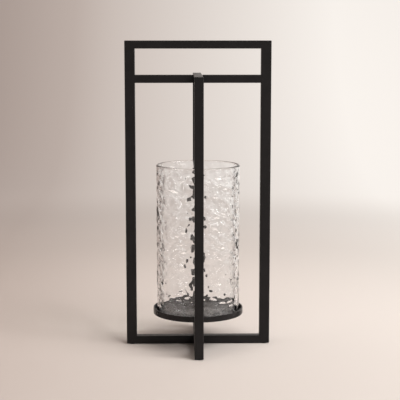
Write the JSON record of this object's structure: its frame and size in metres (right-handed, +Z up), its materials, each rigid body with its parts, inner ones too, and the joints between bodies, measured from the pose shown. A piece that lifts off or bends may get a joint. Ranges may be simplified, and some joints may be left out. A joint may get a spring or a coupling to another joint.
{
  "type": "hurricane candle lantern",
  "caption": "Free-standing candle lantern: crossed black bar frames with a carrying handle hold a round tray on a pedestal, and a loose pebbled glass cylinder shields the candle.",
  "frame": {"origin": "on the floor, under the middle of the crossing of the two base bars", "axes": "+X along the tall frame, +Y from the front to the rear of the hoop, +Z up"},
  "size_m": [0.229, 0.206, 0.484],
  "materials": {
    "black_coat": "satin black coat",
    "screw_steel": "zinc plated",
    "clear_glass": "clear, pebbled",
    "pad_rubber": "matt"
  },
  "bodies": {
    "lantern_frame": {"left_post": "black_coat", "right_post": "black_coat", "handle_bar": "black_coat", "cross_bar": "black_coat", "long_base_bar": "black_coat", "front_post": "black_coat", "rear_post": "black_coat", "hoop_top_bar": "black_coat", "short_base_bar": "black_coat", "pedestal": "black_coat", "tray_boss": "black_coat", "tray_disc": "black_coat", "tray_band": "black_coat", "lap_screw": "screw_steel", "front_foot_screw": "screw_steel", "rear_foot_screw": "screw_steel", "pedestal_screw": "screw_steel", "left_foot_pad": "pad_rubber", "right_foot_pad": "pad_rubber", "front_foot_pad": "pad_rubber", "rear_foot_pad": "pad_rubber"},
    "glass": {"glass_cylinder": "clear_glass"}
  },
  "joints": [
    {"name": "glass_lift", "type": "slide", "parent": "lantern_frame", "child": "glass", "axis": [0, 0, 1], "range_m": [0, 0.1275]}
  ]
}
